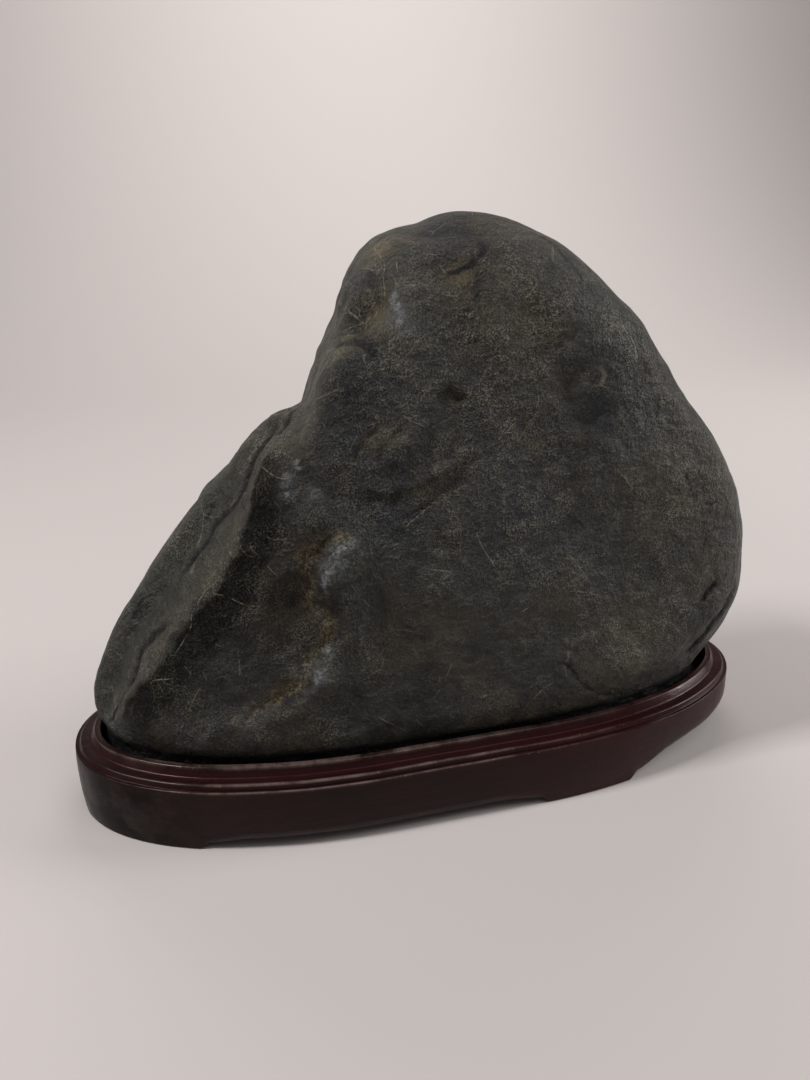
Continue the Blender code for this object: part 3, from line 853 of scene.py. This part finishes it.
def buildStand(lacquer):
    shape = standShape
    footLine = roundedProfile(standProfile(1.0))
    apronLine = roundedProfile(standProfile(0.0))
    tuckedLine = roundedProfile(standProfile(0.0, shape["endLift"]))
    mesh = sweepStand(lacquer, footLine)
    count = len(mesh.vertices)
    places, column, row = np.zeros(count * 3), np.zeros(count, int), np.zeros(count, int)
    mesh.vertices.foreach_get("co", places)
    for name, values in (("column", column), ("row", row)):
        mesh.attributes[name].data.foreach_get("value", values)
    places = places.reshape(-1, 3) / mm
    print("rim swept:", count, "points")

    outer = np.zeros((shape["pathPoints"], 2))  # the outline, one point for each column
    onFace = row == int(np.argmax(footLine[:, 0]))
    outer[column[onFace]] = places[onFace, :2]
    run = np.roll(outer, -1, axis=0) - np.roll(outer, 1, axis=0)
    outward = np.stack([run[:, 1], -run[:, 0]], axis=1) / np.linalg.norm(run, axis=1, keepdims=True)
    bearing = np.degrees(np.arctan2(outer[:, 1], outer[:, 0]))
    share = footShare(bearing, outer)[:, None, None]
    tucked = softStep(38, 20, np.abs(bearing))[:, None, None] * (1 - share)  # the +X end tucks in higher
    section = footLine[None] * share + tuckedLine[None] * tucked + apronLine[None] * (1 - share - tucked)
    softened = smoothedSection(section, shape["wearBlur"])
    inRim = softStep(*shape["rimFrom"], footLine[:, 1])[None, :, None]
    section += (softened - section) * rimWear(bearing)[:, None, None] * inRim
    carved = np.column_stack([outer, np.zeros(len(outer))])
    for cell, sideways, upward, seed in shape["handCarving"]:
        section[:, :, 0] += sideways * pebbleNoise(carved, cell, seed)[:, None] * inRim[:, :, 0]
        section[:, :, 1] += upward * pebbleNoise(carved, cell, seed + 1)[:, None] * inRim[:, :, 0]
    base = outer - outward * footLine[:, 0].max()
    moved = section[column, row]
    places[:, :2] = base[column] + outward[column] * moved[:, :1]
    places[:, 2] = moved[:, 1]
    mesh.vertices.foreach_set("co", (places * mm).ravel())

    step = np.gradient(section, axis=1)
    facing = np.stack([step[:, :, 1], -step[:, :, 0]], axis=2)
    facing /= np.linalg.norm(facing, axis=2, keepdims=True) + 1e-9
    proud = np.sum((section - smoothedSection(section, shape["arrisBlur"])) * facing, axis=2)[column, row]
    proud /= shape["arrisHeight"]
    closeEnds(mesh, column, row)
    for name in ("column", "row"):
        mesh.attributes.remove(mesh.attributes[name])
    mesh.shade_smooth()
    mesh.set_sharp_from_angle(angle=math.radians(50))
    stand = bpy.data.objects.new("stand_carved", mesh)
    bpy.context.scene.collection.objects.link(stand)
    # painted shade: the lower part of the left end is darkened
    storeMask(stand, "leftEndShade", softStep(-78, -112, places[:, 0]) * softStep(24, 21, places[:, 2]))
    storeMask(stand, "reddened", softStep(-10, 60, places[:, 0]))
    storeMask(stand, "arris", np.clip(proud, 0, 1))
    storeMask(stand, "recess", np.clip(-proud, 0, 1))
    return stand


# rosewood under dark lacquer: nearly black red-brown, redder where the coat pools, paler on the arrises from
# rubbed wear and a painted highlight, with painted shade in the recesses and on the lower left end
lacquerFinish = {
    "body": "#140a09",
    "grain": "#1f100d",
    "pooled": "#2e0a10",
    # near black for large random dark mottling, and for painted shade in the recesses and at the lower left
    # end
    "mottleAndRecessShade": "#050303",
    # pale tone on the arrises: rubbed wear and a painted highlight
    "rubbed": "#85706a",
    "dust": "#8a7a6c",
    "tint": "#ffe4de",
    "roughness": 0.33,
    "grainMm": (55.0, 1.3, 1.3),  # along and across the wood; the real pores are too fine to show
}


def lacquerMaterial():
    finish = lacquerFinish
    material, tree, shader = startMaterial("lacquered_rosewood_finish")
    place = addNode(tree, "ShaderNodeTexCoord").outputs["Object"]
    alongWood = addNode(tree, "ShaderNodeMapping", {
        "Scale": tuple(1000 / size for size in finish["grainMm"]), "Vector": place}).outputs[0]
    grain = addNode(tree, "ShaderNodeTexNoise", {
        "Scale": 1.0, "Detail": 5.0, "Roughness": 0.6, "Vector": alongWood}).outputs["Fac"]
    worn = addRecipe(tree, (16.0, 6, 0.7))
    # painted shade darkening the lower left end, with a weaker reflection there
    leftEndShade = addRecipe(tree, ("MULTIPLY", "leftEndShade", ("EASE", (12.0, 4, 0.6), 0.3, 0.6, 1.0)))
    edge = addRecipe(tree, ("EASE", "arris", 0.5, 0.95, 1.0))
    # rubbed wear and painted highlight along the arrises, less on the reddened right part
    rubAndHighlight = ("MULTIPLY", ("MULTIPLY", edge, ("EASE", worn, 0.3, 0.7, 0.5)),
           ("SUBTRACT", 1.0, ("MULTIPLY", "reddened", 0.6)))
    layers = (
        ("grain", ("EASE", grain, 0.4, 0.7, 1.0)),
        ("pooled", ("MULTIPLY", "reddened", 0.55)),
        ("mottleAndRecessShade", ("EASE", (30.0, 4, 0.6), 0.5, 0.7, 0.6)),
        ("pooled", ("MULTIPLY", "recess", 0.8)),
        # painted shade in the recesses of the moulding and on the lower left end
        ("mottleAndRecessShade", ("EASE", "recess", 0.6, 1.0, 0.85)),
        ("mottleAndRecessShade", ("MULTIPLY", leftEndShade, 0.8)),
        ("rubbed", rubAndHighlight),
        ("dust", ("MULTIPLY", ("EASE", (1.1, 2, 0.5), 0.68, 0.76, 0.5), edge)),
    )
    roughness = ("ADD", ("EASE", worn, 0.3, 0.7, 0.16), finish["roughness"] - 0.08)
    roughness = ("SUBTRACT", roughness, ("MULTIPLY", edge, 0.14))
    shader.inputs["IOR"].default_value = 1.3
    shader.inputs["Specular Tint"].default_value = hexToLinear(finish["tint"])
    tree.links.new(paintLayers(tree, finish, "body", layers), shader.inputs["Base Color"])
    tree.links.new(addRecipe(tree, roughness), shader.inputs["Roughness"])
    reflecting = ("SUBTRACT", 0.5, ("MULTIPLY", leftEndShade, 0.3))
    tree.links.new(addRecipe(tree, reflecting), shader.inputs["Specular IOR Level"])
    bumps = ((0.25, 0.3, grain), (0.25, 1.0, (9.0, 3, 0.5)))
    tree.links.new(stackBumps(tree, bumps), shader.inputs["Normal"])
    return material


stand = buildStand(lacquerMaterial())
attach(stand, "root")
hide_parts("stand")
print("stand built:", len(stand.data.polygons), "faces")


# floor, lights and camera, in metres
studio = {
    "paper": "#b2aba8",
    "paperFront": -3.0,
    "paperHalfWidth": 4.0,
    "paperTop": 3.5,
    "bendAt": 0.65,
    "bendRadius": 0.9,
    "sky": "#f7f2f0",
    "skyStrength": 0.2,
    "lights": (  # name, place, target, watts, size
        ("ceiling_light", (0.35, -0.5, 1.15), (0, 0, 0.08), 3.0, 0.7),
        ("right_light", (1.0, -0.15, 0.5), (0, 0, 0.08), 7.3, 0.4),
        ("window_light", (-0.6, -0.08, 0.8), (0, 0, 0.08), 7.9, 0.18),
        ("wall_light", (0.3, 0.75, 1.3), (0.5, 1.5, 0.5), 17.5, 0.8),
    ),
    "cameraAt": (-0.0789, -0.2577, 0.1959),
    "cameraDown": 22.44,
    "cameraTurn": -15.3,
    "lens": 27.03,
}


def aimedLight(name, place, target, watts, size):
    data = bpy.data.lights.new(name, "AREA")
    data.energy = watts
    data.size = size
    light = bpy.data.objects.new(name, data)
    light.location = place
    light.rotation_euler = (Vector(target) - Vector(place)).to_track_quat("-Z", "Y").to_euler()
    bpy.context.scene.collection.objects.link(light)


def buildStudio():
    paper, tree, shader = startMaterial("matte_paper")
    shader.inputs["Base Color"].default_value = hexToLinear(studio["paper"])
    shader.inputs["Roughness"].default_value = 0.9
    bendAt, radius = studio["bendAt"], studio["bendRadius"]
    profile = [(studio["paperFront"], 0.0), (bendAt, 0.0)]
    for turn in np.radians(range(6, 91, 6)):
        profile.append((bendAt + radius * math.sin(turn), radius - radius * math.cos(turn)))
    profile.append((bendAt + radius, studio["paperTop"]))
    side = studio["paperHalfWidth"]
    points = [(x, y, z) for y, z in profile for x in (-side, side)]
    faces = [(2 * i, 2 * i + 1, 2 * i + 3, 2 * i + 2) for i in range(len(profile) - 1)]
    sweep = linkedObject("paper_sweep", points, faces=faces)
    sweep.data.materials.append(paper)
    world = bpy.data.worlds.new("soft_room")
    world.use_nodes = True
    background = world.node_tree.nodes["Background"]
    background.inputs["Color"].default_value = hexToLinear(studio["sky"])
    background.inputs["Strength"].default_value = studio["skyStrength"]
    bpy.context.scene.world = world
    for light in studio["lights"]:
        aimedLight(*light)
    camera = bpy.data.objects.new("camera", bpy.data.cameras.new("camera"))
    camera.data.lens = studio["lens"]
    camera.data.sensor_width = 36.0
    camera.data.clip_start = 0.01
    camera.location = studio["cameraAt"]
    camera.rotation_euler = np.radians((90 - studio["cameraDown"], 0, studio["cameraTurn"]))
    bpy.context.scene.collection.objects.link(camera)
    bpy.context.scene.camera = camera


buildStudio()
bpy.context.scene.view_settings.view_transform = "Standard"
print("studio ready")
